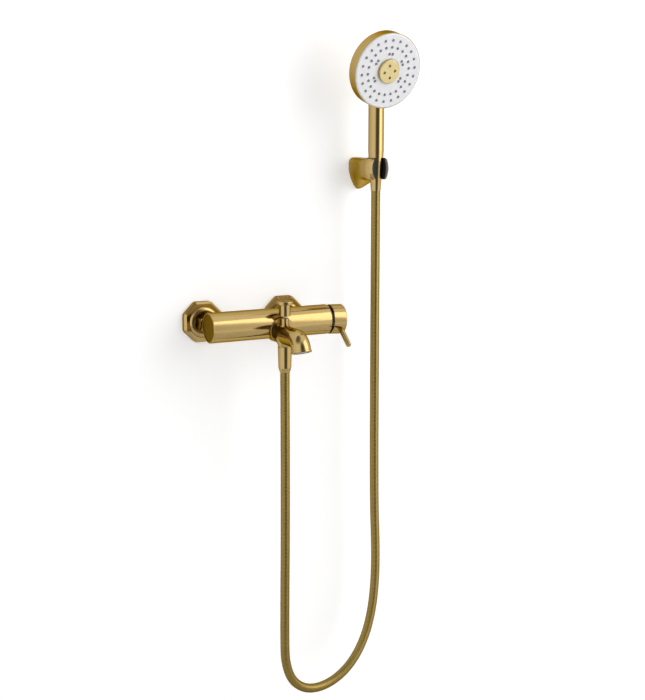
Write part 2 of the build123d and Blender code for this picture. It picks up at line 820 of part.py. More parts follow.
# Holder on the wall
holder_line = upright(holder_x, holder_axis_d)
liner_top = holder_top + liner_rise
nut_slope = (upper_nut_r - upper_nut_waist_r) / (upper_nut_top - upper_nut_waist)


def nut_r_at(z):
    """Radius of the upper nut's cone, carried on above and below it."""
    return upper_nut_waist_r + nut_slope * (z - upper_nut_waist)


def seat_cone(extra, start, end):
    """The upper nut's cone grown by extra."""
    return cone(nut_r_at(start) + extra, nut_r_at(end) + extra, start, end)


def holder_cup():
    """Barrel round the handset's axis, in the holder_line frame."""
    side = ThreePointArc((cup_bottom_r, 0, cup_bottom), (cup_r, 0, cup_belly_z), (cup_top_r, 0, holder_top))
    lid = Polyline((cup_top_r, 0, holder_top), (0, 0, holder_top), (0, 0, cup_bottom), (cup_bottom_r, 0, cup_bottom))
    barrel = revolve(make_face(Wire([side, *lid.edges()])), Axis.Z, 360)
    barrel = fillet(edges_at(barrel, holder_top, cup_top_r), holder_edge)
    return fillet(edges_at(barrel, cup_bottom, cup_bottom_r), holder_edge)


def holder_arm():
    """Arm from the wall to the cup: side view times front view, with a keel that falls towards the wall."""
    keel = make_face(Polyline(
        (0, holder_top), (holder_axis_d, holder_top), (holder_axis_d, cup_bottom + liner_cheek),
        (arm_tip_d, arm_tip_z), (0, arm_heel_z), close=True))
    keel = fillet(keel.vertices().sort_by(Axis.Y)[0], arm_tip_edge)
    side_plane = Plane(origin=(holder_x, 0, 0), x_dir=(0, -1, 0), z_dir=(-1, 0, 0))
    arm = extrude(side_plane * keel, arm_half_width, both=True)
    half = arm_half_width
    front = make_face(Polyline(
        (-half, holder_top), (half, holder_top), (half, arm_shoulder_z), (arm_tip_half_width, arm_tip_z),
        (-arm_tip_half_width, arm_tip_z), (-half, arm_shoulder_z), close=True))
    front = fillet(front.vertices().sort_by(Axis.Y)[-2:], 2 * holder_edge)
    front = fillet(front.vertices().sort_by(Axis.Y)[:2], arm_tip_half_width / 2)
    return arm & extrude(out_of_wall(holder_x) * front, holder_axis_d)


def slot_block(width, start, end):
    """A block from the handset's axis out through the front of the cup."""
    return Pos(0, 0, start) * Box(width, 2 * cup_r, end - start, align=(Align.CENTER, Align.MAX, Align.MIN))


def mouth_block(distance, start, end):
    """A block that holds everything of the cup that lies further than distance in front of the axis."""
    return Pos(0, -distance, 0) * slot_block(2 * cup_r, start, end)


def holder_shell():
    """Outer shell: tapered seat, open slot in front and a pocket for the wall bracket behind."""
    solid = holder_arm() + holder_line * holder_cup()
    low, high = arm_tip_z - overrun, holder_top + overrun
    outer = liner_wall + cone_play + touch
    way_in = seat_cone(outer, low, high) + slot_block(liner_slot + 2 * liner_cheek + 2 * touch, low, high)
    solid -= holder_line * (way_in + mouth_block(cup_mouth_d, low, high))
    pocket = Box(bracket_width + 2 * seat, bracket_height + 2 * seat, bracket_depth + overrun + seat,
                 align=(Align.CENTER, Align.CENTER, Align.MIN))
    solid -= out_of_wall(holder_x, bracket_z) * Pos(0, 0, -overrun) * pocket
    grub_hole = rod(grub_screw_r + touch, arm_tip_z - overrun, bracket_z)
    return solid - upright(holder_x, grub_screw_d) * grub_hole


def holder_liner():
    """Black plastic seat inside the shell, with a cheek on each side of the slot that ends in the cup's front."""
    low = cup_bottom + liner_cheek
    solid = seat_cone(liner_wall + cone_play, low, liner_top)
    solid += slot_block(liner_slot + 2 * liner_cheek, low, liner_top)
    solid += mouth_block(cup_mouth_d + touch, cup_bottom - overrun, liner_top)
    lid = rod(cup_top_r - holder_edge, holder_top - overrun, liner_top)
    solid &= holder_cup() + lid
    solid -= seat_cone(cone_play, cup_bottom - overrun, liner_top + overrun)
    solid -= slot_block(liner_slot, cup_bottom - overrun, liner_top + overrun)
    return holder_line * solid


def bracket_screw_spots():
    return [Pos(side * bracket_screw_pitch / 2, 0, 0) for side in (-1, 1)]


def holder_bracket():
    """Block on the wall that the shell slips over, with two countersunk holes."""
    solid = Box(bracket_width, bracket_height, bracket_depth, align=(Align.CENTER, Align.CENTER, Align.MIN))
    for spot in bracket_screw_spots():
        solid -= spot * rod(holder_screw_r + seat, -overrun, bracket_depth + overrun)
        sink = holder_screw_head_r - holder_screw_r
        solid -= spot * cone(holder_screw_r + seat, holder_screw_head_r + seat, bracket_depth - sink, bracket_depth)
    return out_of_wall(holder_x, bracket_z) * solid


def holder_screws():
    """Two countersunk wall screws."""
    solids = []
    for spot in bracket_screw_spots():
        sink = holder_screw_head_r - holder_screw_r
        start = bracket_depth - holder_screw_length
        screw = rod(holder_thread_r, start, -seat) + rod(holder_screw_r, start, bracket_depth - sink)
        screw += cone(holder_screw_r, holder_screw_head_r, bracket_depth - sink, bracket_depth - touch)
        screw = chamfer(edges_at(screw, start), holder_thread_r / 2)
        screw -= hex_socket(hex_socket_flats, sink, bracket_depth - touch)
        solids.append(out_of_wall(holder_x, bracket_z) * spot * screw)
    return solids


def holder_grub_screw():
    end = bracket_z - bracket_height / 2 - touch
    solid = rod(grub_screw_r, end - grub_screw_length, end)
    solid -= prism(hex_socket_flats, 6, end - grub_screw_length - overrun, end - grub_screw_length + hex_socket_depth / 2)
    return upright(holder_x, grub_screw_d) * solid


# Handset. The head's pieces are made in the face frame, with the face's front at height 0.
face_r = head_r - face_inset
pad_r = head_r - head_wall - pad_inset
outer_ring_r = outer_ring_share * head_r
middle_ring_r = middle_ring_share * head_r
inner_ring_r = inner_ring_share * head_r
jet_r = jet_share * head_r
jet_hole_circle_r = jet_hole_circle_share * head_r
face_recess_r = jet_r + face_recess_gap
handle_top = face_centre_z - handle_stop
rim_front = -face_thickness + face_edge / 2
rim_back = rim_front - head_rim
back_top = rim_back - head_dome
dome_r = (head_r ** 2 + head_dome ** 2) / (2 * head_dome)
handle_axis = upright(holder_x, holder_axis_d, 0, handset_turn)


def head_form(shrink):
    """Solid outline of the head's shell, drawn in by shrink on every side but its open front."""
    radius = head_r - shrink
    side = rod(radius, rim_back + shrink / 2, rim_front)
    ball = Pos(0, 0, back_top + dome_r) * Sphere(dome_r - shrink)
    dome = ball & rod(radius, back_top - overrun, rim_back + shrink)
    return side + dome


def handset_shell():
    """Handle and head in one hollow piece, with the hose thread at the foot."""
    head = head_form(0)
    head = fillet(edges_at(head, rim_back, head_r), head_edge)
    handle = rod(handle_r, handle_taper_start, handle_top)
    handle += cone(handle_bottom_r, handle_r, upper_nut_top + touch, handle_taper_start)
    handle += Pos(0, 0, handle_top) * Sphere(handle_r)
    thread = rod(hose_thread_r, upper_thread_bottom, upper_nut_top + overrun)
    stick = handle_axis * (handle + thread)
    solid = face_plane * head + stick
    inner_r = handle_r - handle_wall
    solid -= handle_axis * rod(inner_r, handle_taper_start, handle_top)
    solid -= handle_axis * rod(inner_tube_r + seat, upper_thread_bottom - overrun, handle_taper_start + overrun)
    return solid - face_plane * head_form(head_wall) - face_plane * rod(face_r + face_play, -face_thickness - touch, overrun)


def inner_tube():
    """Plastic water tube inside the handle."""
    solid = ring(inner_tube_r, inner_tube_r - inner_tube_wall, upper_thread_bottom + check_valve_length, handle_top)
    return handle_axis * solid


def handset_valve():
    """Non-return valve in the foot of the handle."""
    place = Pos(0, 0, upper_thread_bottom)
    return handle_axis * place * check_valve(inner_tube_r, check_valve_length - touch, inner_tube_wall)


plate_front = -face_thickness - pad_thickness - water_plate_gap
water_plate_r = head_r - head_wall - seat


def water_plate():
    """Fixed plate inside the head that sends the water to the rings of nozzles."""
    solid = rod(water_plate_r, plate_front - water_plate_thickness, plate_front)
    solid += rod(face_hub_r - handle_wall, plate_front - face_hub_length, plate_front)
    for place in range(inner_pair_count + 1):
        angle = radians(inner_pair_pitch * place)
        spot = Pos(middle_ring_r * cos(angle), middle_ring_r * sin(angle), 0)
        solid -= spot * rod(port_r, plate_front - water_plate_thickness - overrun, plate_front + overrun)
    return face_plane * (solid - rod(hub_screw_r + running, plate_front - face_hub_length - overrun, plate_front + overrun))


def nozzle_spots():
    """Places of the nozzles on the face: two full rings, and pairs round the middle jet."""
    spots = []
    for radius, count in ((outer_ring_r, outer_ring_count), (middle_ring_r, middle_ring_count)):
        for place in range(count):
            spots.append((radius, 360 * (place + 1 / 2) / count))
    first = 90 - inner_pair_pitch * (inner_pair_count - 1) / 2
    for place in range(inner_pair_count):
        for side in (-1, 1):
            spots.append((inner_ring_r, first + inner_pair_pitch * place + side * inner_pair_spread / 2))
    return [Pos(r * cos(radians(a)), r * sin(radians(a)), 0) for r, a in spots]


def spray_face():
    """White face plate with a rounded rim, a hole for every nozzle and a shallow well for the jet."""
    solid = rod(face_r, -face_thickness, 0)
    solid = fillet(edges_at(solid, 0, face_r), face_edge)
    solid -= rod(face_recess_r, -face_recess_depth, overrun)
    solid -= Compound(children=[spot * rod(nozzle_foot_r + touch, -face_thickness - overrun, overrun) for spot in nozzle_spots()])
    return face_plane * (solid - rod(hub_screw_r + running, -face_thickness - overrun, overrun))


def nozzle_pad():
    """Soft pad behind the face, with a tapered nozzle through each hole."""
    solid = rod(pad_r, -face_thickness - pad_thickness, -face_thickness - touch)
    nozzles = [spot * cone(nozzle_foot_r, nozzle_tip_r, -face_thickness - tiny_edge, nozzle_stand) for spot in nozzle_spots()]
    solid = solid.fuse(*nozzles)
    return face_plane * (solid - rod(hub_screw_r + running, -face_thickness - pad_thickness - overrun, overrun))


def centre_jet():
    """Raised round jet in the middle of the face, with four outlets."""
    solid = rod(jet_r, -face_recess_depth + touch, jet_height)
    solid = fillet(edges_at(solid, jet_height), jet_edge)
    for place in range(jet_hole_count):
        angle = radians(360 * place / jet_hole_count + jet_hole_turn)
        spot = Pos(jet_hole_circle_r * cos(angle), jet_hole_circle_r * sin(angle), 0)
        solid -= spot * rod(jet_hole_r, jet_height - jet_hole_depth, jet_height + overrun)
    head_pocket = rod(hub_screw_head_r + seat, -overrun, jet_height / 2)
    return face_plane * (solid - head_pocket)


def hub_screw():
    """Screw that holds the turning face to the water plate's hub, under the jet."""
    top = -face_recess_depth + hub_screw_head + touch
    solid = rod(hub_screw_head_r, top - hub_screw_head, top) + rod(hub_screw_r, top - hub_screw_length, top)
    return face_plane * (solid - hex_socket(hex_socket_flats, hex_socket_depth / 2, top))


def write(name, shape):
    export_step(shape, f"parts/{name}.step")


sides = {"hot": -1, "cold": 1}
for name, side in sides.items():
    frame = out_of_wall(side * inlet_spacing / 2)
    write(f"{name}_union", frame * union())
    write(f"{name}_flange", frame * flange())
    write(f"{name}_union_nut", frame * union_nut())
inlets = [out_of_wall(side * inlet_spacing / 2) for side in sides.values()]
write("inlet_washers", Compound(children=[frame * inlet_washer() for frame in inlets]))
valve_place = Pos(0, 0, spigot_face + seat)
inlet_valve = check_valve(spigot_bore_r - touch, valve_length, valve_wall)
write("inlet_valves", Compound(children=[frame * valve_place * inlet_valve for frame in inlets]))

write("mixer_body", mixer_body())
write("end_cap", end_cap())
write("cartridge_housing", cartridge_housing())
write("ceramic_disc_fixed", fixed_disc())
write("ceramic_disc_moving", moving_disc())
write("disc_slider", disc_slider())
write("stem_carrier", stem_carrier())
write("pivot_pin", pivot_pin())
write("cartridge_nut", cartridge_nut())
write("trim_ring", trim_ring())
write("cartridge_stem", cartridge_stem())
write("handle_cap", handle_cap())
write("lever", lever())
write("set_screw", set_screw())

write("spout", spout())
write("spout_seal", spout_seal())
write("aerator_ring", aerator_ring())
write("aerator_insert", aerator_insert())
write("aerator_washer", aerator_washer())
write("diverter_gland", diverter_gland())
write("diverter_rod", diverter_rod())
write("diverter_knob", diverter_knob())
write("diverter_piston", diverter_piston())
write("piston_seal", piston_seal())
write("piston_nut", piston_nut())

column = upright(spout_x, outlet_d)
write("hose_nipple", hose_nipple())
write("lower_hose_nut", column * hose_nut(
    lower_nut_r, lower_nut_waist_r, lower_nut_top, lower_nut_waist, lower_nut_bottom,
    lower_nut_top - lower_tail_top, tail_collar_length + seat))
write("lower_hose_washer", column * hose_washer(nipple_bottom - touch))
write("lower_hose_tail", column * hose_tail(lower_tail_top, hose_points[0][2]))
write("hose", hose())
write("upper_hose_nut", holder_line * hose_nut(
    upper_nut_r, upper_nut_waist_r, upper_nut_top, upper_nut_waist, upper_nut_bottom,
    upper_nut_top - upper_tail_top, tail_collar_length + seat))
write("upper_hose_washer", holder_line * hose_washer(upper_thread_bottom - touch))
write("upper_hose_tail", holder_line * hose_tail(upper_tail_top, hose_points[-1][2]))

write("holder_bracket", holder_bracket())
write("holder_screws", Compound(children=holder_screws()))
write("holder_shell", holder_shell())
write("holder_liner", holder_liner())
write("holder_grub_screw", holder_grub_screw())

write("handset_shell", handset_shell())
write("inner_tube", inner_tube())
write("handset_valve", handset_valve())
write("water_plate", water_plate())
write("spray_face", spray_face())
write("nozzle_pad", nozzle_pad())
write("centre_jet", centre_jet())
write("hub_screw", hub_screw())
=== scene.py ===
import json
import math

import bmesh
import bpy
import numpy as np
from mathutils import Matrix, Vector


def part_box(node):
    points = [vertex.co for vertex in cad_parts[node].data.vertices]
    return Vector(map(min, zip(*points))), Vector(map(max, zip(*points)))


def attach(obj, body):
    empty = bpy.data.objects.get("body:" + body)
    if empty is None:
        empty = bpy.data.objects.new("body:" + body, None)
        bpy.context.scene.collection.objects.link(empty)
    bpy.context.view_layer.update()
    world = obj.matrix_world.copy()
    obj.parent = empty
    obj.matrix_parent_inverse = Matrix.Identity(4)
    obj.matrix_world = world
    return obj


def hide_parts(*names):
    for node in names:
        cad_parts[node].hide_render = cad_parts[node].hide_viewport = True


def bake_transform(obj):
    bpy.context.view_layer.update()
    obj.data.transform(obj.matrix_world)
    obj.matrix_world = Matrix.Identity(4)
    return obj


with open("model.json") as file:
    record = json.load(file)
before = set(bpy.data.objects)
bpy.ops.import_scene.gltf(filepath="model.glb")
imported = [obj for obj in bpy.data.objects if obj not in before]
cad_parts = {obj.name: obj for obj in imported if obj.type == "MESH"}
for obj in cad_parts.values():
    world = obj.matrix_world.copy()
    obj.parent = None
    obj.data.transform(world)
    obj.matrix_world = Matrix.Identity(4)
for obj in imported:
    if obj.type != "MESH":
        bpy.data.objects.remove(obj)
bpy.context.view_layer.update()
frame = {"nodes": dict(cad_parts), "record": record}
nodes = frame["nodes"]

# Bath shower mixer in polished gold
# Metres, +Z up; the wall is the plane Y = 0 and the mixer stands out towards -Y

# Camera
camera_place = Vector((-0.8741, -1.9817, 0.3375))
camera_look = Vector((0.4528, 0.8735, -0.1788))
camera_lens = 66.24
camera_sensor = 36.0
camera_far = 50.0

# Hose: the corner points of its route, as (x, distance from wall, z)
hose_r = 0.0078
hose_route = [
    (0.0280, 0.1070, -0.0770),
    (0.0280, 0.1070, -0.3000),
    (0.0254, 0.1054, -0.5480),
    (0.0275, 0.1050, -0.5900),
    (0.0420, 0.1022, -0.6260),
    (0.0730, 0.0962, -0.6490),
    (0.1120, 0.0887, -0.6535),
    (0.1500, 0.0814, -0.6420),
    (0.1810, 0.0754, -0.6180),
    (0.2050, 0.0708, -0.5800),
    (0.2190, 0.0681, -0.5330),
    (0.2250, 0.0670, -0.4780),
    (0.2254, 0.0669, -0.4180),
    (0.2215, 0.0666, -0.3300),
    (0.2214, 0.0650, -0.0600),
    (0.2214, 0.0650, 0.2120),
]

# Winding: places within one turn as shares of the pitch, and the shares of the groove's depth there
winding_pitch = 0.0024
winding_groove = 0.00045
winding_sides = 26
winding_turn = (0.0, 0.30, 0.70, 0.86)
winding_dip = (1.0, 0.0, 0.0, 0.55)


# Finishes: patches of tone, gloss and relief in metres
metal_tone_patch = 0.030
metal_gloss_patch = 0.004
metal_ripple_patch = 0.0022
metal_ripple_strength = 0.3
moulded_tone_patch = 0.018
moulded_gloss_patch = 0.005
moulded_grain_strength = 0.4
noise_detail = 2.0
polish_ripple = 0.00002
turned_ripple = 0.00005
gold_edge = (0.36, 0.26, 0.11)
hose_edge = (0.25, 0.18, 0.06)
brass_edge = (0.7, 0.6, 0.4)
steel_edge = (0.9, 0.9, 0.9)


def finish(name):
    """A node material: returns it with its nodes, its links and its Principled shader."""
    made = bpy.data.materials.new(name)
    made.use_nodes = True
    tree = made.node_tree
    shader = next(n for n in tree.nodes if n.type == "BSDF_PRINCIPLED")
    return made, tree.nodes, tree.links, shader


def place_of(tree_nodes):
    """The socket that gives a point's place on the object."""
    return tree_nodes.new("ShaderNodeTexCoord").outputs["Object"]


def cloudy(tree_nodes, links, size, low, high):
    """Soft noise with patches of about size metres, spread from low to high."""
    noise = tree_nodes.new("ShaderNodeTexNoise")
    noise.inputs["Scale"].default_value = 1.0 / size
    noise.inputs["Detail"].default_value = noise_detail
    links.new(place_of(tree_nodes), noise.inputs["Vector"])
    spread = tree_nodes.new("ShaderNodeMapRange")
    spread.inputs["To Min"].default_value = low
    spread.inputs["To Max"].default_value = high
    links.new(noise.outputs["Fac"], spread.inputs["Value"])
    return spread.outputs["Result"]


def two_tones(tree_nodes, links, share, first, second):
    """A colour between first and second by share."""
    mix = tree_nodes.new("ShaderNodeMix")
    mix.data_type = "RGBA"
    mix.inputs["A"].default_value = (*first, 1)
    mix.inputs["B"].default_value = (*second, 1)
    links.new(share, mix.inputs["Factor"])
    return mix.outputs["Result"]


def bumped(tree_nodes, links, shader, height, depth, strength):
    """Gives the shader surface relief of the given depth in metres."""
    bump = tree_nodes.new("ShaderNodeBump")
    bump.inputs["Distance"].default_value = depth
    bump.inputs["Strength"].default_value = strength
    links.new(height, bump.inputs["Height"])
    links.new(bump.outputs["Normal"], shader.inputs["Normal"])


def metal(name, first, second, smooth, rough, edge, ripple):
    """Metal between two near tones, with its gloss a little uneven and a very faint ripple."""
    made, tree_nodes, links, shader = finish(name)
    shader.inputs["Metallic"].default_value = 1.0
    shader.inputs["Specular Tint"].default_value = (*edge, 1)
    tone = cloudy(tree_nodes, links, metal_tone_patch, 0.0, 1.0)
    links.new(two_tones(tree_nodes, links, tone, first, second), shader.inputs["Base Color"])
    links.new(cloudy(tree_nodes, links, metal_gloss_patch, smooth, rough), shader.inputs["Roughness"])
    height = cloudy(tree_nodes, links, metal_ripple_patch, 0.0, 1.0)
    bumped(tree_nodes, links, shader, height, ripple, metal_ripple_strength)
    return made


def polished_gold():
    return metal(
        "polished_gold", (0.435, 0.308, 0.120), (0.470, 0.338, 0.136),
        smooth=0.11, rough=0.16, edge=gold_edge, ripple=polish_ripple,
    )


def hose_gold():
    return metal(
        "hose_gold", (0.262, 0.184, 0.052), (0.300, 0.215, 0.064),
        smooth=0.20, rough=0.28, edge=hose_edge, ripple=polish_ripple,
    )


# Polished gold with its colour darkened to paint the dark reflection seen on the end cap's disc
def painted_dark_reflection_gold():
    return metal(
        "painted_dark_reflection_gold", (0.205, 0.145, 0.060), (0.235, 0.168, 0.070),
        smooth=0.20, rough=0.27, edge=gold_edge, ripple=polish_ripple,
    )


# Rougher gold with its colour paled to paint the bright highlight on the centre jet's face
def painted_highlight_gold():
    return metal(
        "painted_highlight_gold", (0.62, 0.51, 0.26), (0.67, 0.56, 0.29),
        smooth=0.40, rough=0.48, edge=brass_edge, ripple=polish_ripple,
    )


def turned_brass():
    return metal(
        "turned_brass", (0.66, 0.50, 0.26), (0.72, 0.56, 0.30),
        smooth=0.28, rough=0.42, edge=brass_edge, ripple=turned_ripple,
    )


def machined_steel():
    return metal(
        "machined_steel", (0.50, 0.50, 0.51), (0.58, 0.58, 0.59),
        smooth=0.25, rough=0.38, edge=steel_edge, ripple=turned_ripple,
    )


def moulded(name, first, second, smooth, rough, grain, depth, coat=0.0):
    """Moulded plastic, rubber or ceramic between two near tones, with a fine grain."""
    made, tree_nodes, links, shader = finish(name)
    tone = cloudy(tree_nodes, links, moulded_tone_patch, 0.0, 1.0)
    links.new(two_tones(tree_nodes, links, tone, first, second), shader.inputs["Base Color"])
    links.new(cloudy(tree_nodes, links, moulded_gloss_patch, smooth, rough), shader.inputs["Roughness"])
    shader.inputs["Coat Weight"].default_value = coat
    height = cloudy(tree_nodes, links, grain, 0.0, 1.0)
    bumped(tree_nodes, links, shader, height, depth, moulded_grain_strength)
    return made


def white_gloss():
    return moulded(
        "white_gloss", (0.80, 0.80, 0.82), (0.84, 0.84, 0.85),
        smooth=0.22, rough=0.30, grain=0.0009, depth=0.00002, coat=0.25,
    )


def grey_silicone():
    return moulded(
        "grey_silicone", (0.20, 0.20, 0.235), (0.25, 0.25, 0.28),
        smooth=0.45, rough=0.60, grain=0.0006, depth=0.00003,
    )


def black_moulding():
    return moulded(
        "black_moulding", (0.012, 0.012, 0.013), (0.022, 0.021, 0.021),
        smooth=0.30, rough=0.44, grain=0.0006, depth=0.00004,
    )


def black_seal():
    return moulded(
        "black_seal", (0.020, 0.020, 0.020), (0.034, 0.034, 0.034),
        smooth=0.55, rough=0.75, grain=0.0006, depth=0.00004,
    )


def inner_moulding():
    return moulded(
        "inner_moulding", (0.62, 0.62, 0.60), (0.68, 0.68, 0.66),
        smooth=0.35, rough=0.50, grain=0.0009, depth=0.00004,
    )


def lapped_ceramic():
    return moulded(
        "lapped_ceramic", (0.80, 0.78, 0.73), (0.85, 0.83, 0.79),
        smooth=0.12, rough=0.20, grain=0.0005, depth=0.00001,
    )


finish_of_slot = {
    "polished_brass": polished_gold(),
    "hose_metal": hose_gold(),
    "plain_brass": turned_brass(),
    "steel": machined_steel(),
    "black_plastic": black_moulding(),
    "black_rubber": black_seal(),
    "white_plastic": white_gloss(),
    "grey_silicone": grey_silicone(),
    "inner_plastic": inner_moulding(),
    "ceramic": lapped_ceramic(),
}
# The end cap's gold is darkened to paint a dark reflection, and the centre jet's gold is paled to paint a
# highlight
painted_light_gold_of_node = {
    "end_cap": painted_dark_reflection_gold(),
    "centre_jet": painted_highlight_gold(),
}
for subpart in frame["record"]["subparts"]:
    node = nodes[subpart["node"]]
    usual = finish_of_slot[subpart["material_slot"]]
    node.data.materials.clear()
    node.data.materials.append(painted_light_gold_of_node.get(subpart["node"], usual))


# Meshes
corner_join = 0.00002
curve_steps = 24


def grid_mesh(name, points, closed_along):
    """A mesh from a grid of points, rows along it and columns round it. The last column joins the first one,
    and closed_along joins the last row to the first one."""
    rows, columns, _ = points.shape
    index = np.arange(rows * columns).reshape(rows, columns)
    index = np.concatenate([index, index[:, :1]], axis=1)
    if closed_along:
        index = np.concatenate([index, index[:1]], axis=0)
    corners = [index[:-1, :-1], index[:-1, 1:], index[1:, 1:], index[1:, :-1]]
    quads = np.stack(corners, axis=-1).reshape(-1, 4)
    mesh = bpy.data.meshes.new(name)
    mesh.from_pydata(points.reshape(-1, 3), [], quads.tolist())
    mesh.polygons.foreach_set("use_smooth", np.ones(len(quads), bool))
    mesh.update()
    piece = bpy.data.objects.new(name, mesh)
    bpy.context.scene.collection.objects.link(piece)
    return piece


def closed_block(name, points):
    """A closed mesh from rings of points: rows along it, columns round it, and one flat face at each end."""
    block = grid_mesh(name, points, False)
    mesh = block.data
    rows, columns, _ = points.shape
    faces = [list(face.vertices) for face in mesh.polygons]
    faces.append(list(range(columns)))
    faces.append([rows * columns - 1 - number for number in range(columns)])
    mesh.clear_geometry()
    mesh.from_pydata(points.reshape(-1, 3), [], faces)
    mesh.polygons.foreach_set("use_smooth", np.arange(len(faces)) < len(faces) - 2)
    mesh.update()
    return block


def outward(piece):
    """Turns a closed piece's faces outwards."""
    shape = bmesh.new()
    shape.from_mesh(piece.data)
    bmesh.ops.recalc_face_normals(shape, faces=shape.faces)
    shape.to_mesh(piece.data)
    shape.free()


def closed_triangles(mesh):
    """Joins corners closer than corner_join, drops the faces that this leaves without area and splits the
    others into triangles."""
    shape = bmesh.new()
    shape.from_mesh(mesh)
    bmesh.ops.remove_doubles(shape, verts=shape.verts, dist=corner_join)
    bmesh.ops.dissolve_degenerate(shape, edges=shape.edges, dist=corner_join)
    bmesh.ops.triangulate(shape, faces=shape.faces, quad_method="BEAUTY", ngon_method="BEAUTY")
    shape.to_mesh(mesh)
    shape.free()


def route_line(points, name):
    """Points read from the smooth NURBS line that has the route's points as its control points."""
    curve = bpy.data.curves.new(name, "CURVE")
    curve.dimensions = "3D"
    spline = curve.splines.new("NURBS")
    spline.points.add(len(points) - 1)
    spline.points.foreach_set("co", [c for x, d, z in points for c in (x, -d, z, 1.0)])
    spline.order_u = 3
    spline.use_endpoint_u = True
    spline.resolution_u = curve_steps
    curve_object = bpy.data.objects.new(name, curve)
    line = bpy.data.meshes.new_from_object(curve_object)
    found = np.empty(3 * len(line.vertices))
    line.vertices.foreach_get("co", found)
    bpy.data.objects.remove(curve_object)
    bpy.data.meshes.remove(line)
    return found.reshape(-1, 3)


def length_along(line):
    """Distance along a line of points, starting at 0."""
    return np.concatenate([[0.0], np.cumsum(np.linalg.norm(np.diff(line, axis=0), axis=1))])


def steady_frames(line):
    """Two unit vectors across the line at each point, square to it and to each other, without twist."""
    along = np.gradient(line, axis=0)
    along /= np.linalg.norm(along, axis=1)[:, None]
    across = np.empty_like(along)
    start = np.cross(along[0], (0.0, 1.0, 0.0))
    across[0] = start / np.linalg.norm(start)
    for number in range(1, len(line)):
        carried = across[number - 1] - along[number] * (across[number - 1] @ along[number])
        across[number] = carried / np.linalg.norm(carried)
    return across, np.cross(along, across)


def wound_hose(line):
    """Wound metal hose: point(s, a) = line(s) + r(s)*(cos(a)*u(s) + sin(a)*v(s)), where r(s) drops by the
    groove's depth once a pitch, in a narrow dip, and is full over the middle of the turn."""
    s = length_along(line)
    turns = int(round(s[-1] / winding_pitch))
    steps = ((np.arange(turns)[:, None] + np.array(winding_turn)[None, :]) / turns).ravel()
    steps = np.append(steps, 1.0)
    depth = np.append(np.tile(winding_dip, turns), 1.0) * winding_groove
    centre = np.stack([np.interp(steps * s[-1], s, line[:, axis]) for axis in range(3)], axis=1)
    u, v = steady_frames(centre)
    angle = np.linspace(0.0, 2 * np.pi, winding_sides, endpoint=False)
    radius = (hose_r - depth)[:, None, None]
    cosine = np.cos(angle)[None, :, None]
    sine = np.sin(angle)[None, :, None]
    ring = cosine * u[:, None, :] + sine * v[:, None, :]
    return closed_block("hose_winding", centre[:, None, :] + radius * ring)


# Hose: a wound tube along the smooth line through the route's points, in place of the CAD hose, which is hidden
hose_line = route_line(hose_route, "hose_route")
winding = wound_hose(hose_line)
winding.data.materials.append(finish_of_slot["hose_metal"])
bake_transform(winding)
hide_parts("hose")


# Flange rings: a rounded bead over the raised ring of each flange, as (radius, distance from wall)
bead_sides = 128
bead_section = [
    (0.0164, 0.0118),
    (0.0164, 0.0140),
    (0.0167, 0.0155),
    (0.0176, 0.0163),
    (0.0192, 0.0167),
    (0.0210, 0.0166),
    (0.0228, 0.0160),
    (0.0244, 0.0150),
    (0.0257, 0.0136),
    (0.0264, 0.0118),
]


def turned_bead(name, x):
    """Ring turned about a line along Y: point(a, p) = (x + r(p)*sin(a), -d(p), r(p)*cos(a)) for each place p
    of the section, whose first and last places lie under the flange's face and are joined there."""
    angle = np.linspace(0.0, 2 * np.pi, bead_sides, endpoint=False)[:, None]
    r, d = np.array(bead_section).T
    points = np.stack([x + np.sin(angle) * r, -d + 0 * angle, np.cos(angle) * r], axis=-1)
    bead = grid_mesh(name, points, True)
    outward(bead)
    bead.data.materials.append(finish_of_slot["polished_brass"])
    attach(bead, "fixture")


for side in ("hot", "cold"):
    lowest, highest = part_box(side + "_flange")
    turned_bead(side + "_flange_bead", (lowest.x + highest.x) / 2)


# Holder: one smooth shell from the wall to the mouth, with its seat, slot, pocket and screw hole cut out
holder_x = 0.2214
holder_axis_d = 0.0650
holder_mouth_d = 0.0800
holder_middle_z = 0.2485
holder_top = 0.2670
cup_bottom = 0.2315
cup_belly_z = 0.2490
cup_r = 0.0215
cup_top_r = 0.0182
cup_bottom_r = 0.0173
shield_half_width = 0.0172
shield_drop = 0.0360
shield_drop_power = 1.5
cup_drop = 0.0172
cup_drop_power = 3.0
top_power = 4.0
nut_r_at_seat = 0.0123
nut_seat_z = 0.2620
nut_taper = 0.0833
seat_play = 0.00335
slot_half_width = 0.01055
slot_end_d = 0.095
pocket = ((-0.0101, 0.0101), (-0.0050, 0.0091), (0.2524, 0.2636))
screw_hole_r = 0.00155
screw_hole_d = 0.0050
screw_hole_top = 0.258
cutter_bottom = 0.205
cutter_top = 0.272
arm_change = (0.004, 0.056)
cup_change = (0.034, 0.063)
arm_rings = 44
mouth_rings = 15
holder_sides = 144
seat_sides = 72
screw_hole_sides = 24
corner_softening = 4
longest_reach = 0.030
reach_steps = 1201
sharp_from = math.radians(35)


def smooth_step(value, start, end):
    """0 up to start, 1 from end on, and 3k^2 - 2k^3 between them, where k is the share of the way."""
    way = np.clip((value - start) / (end - start), 0.0, 1.0)
    return way ** 2 * (3 - 2 * way)


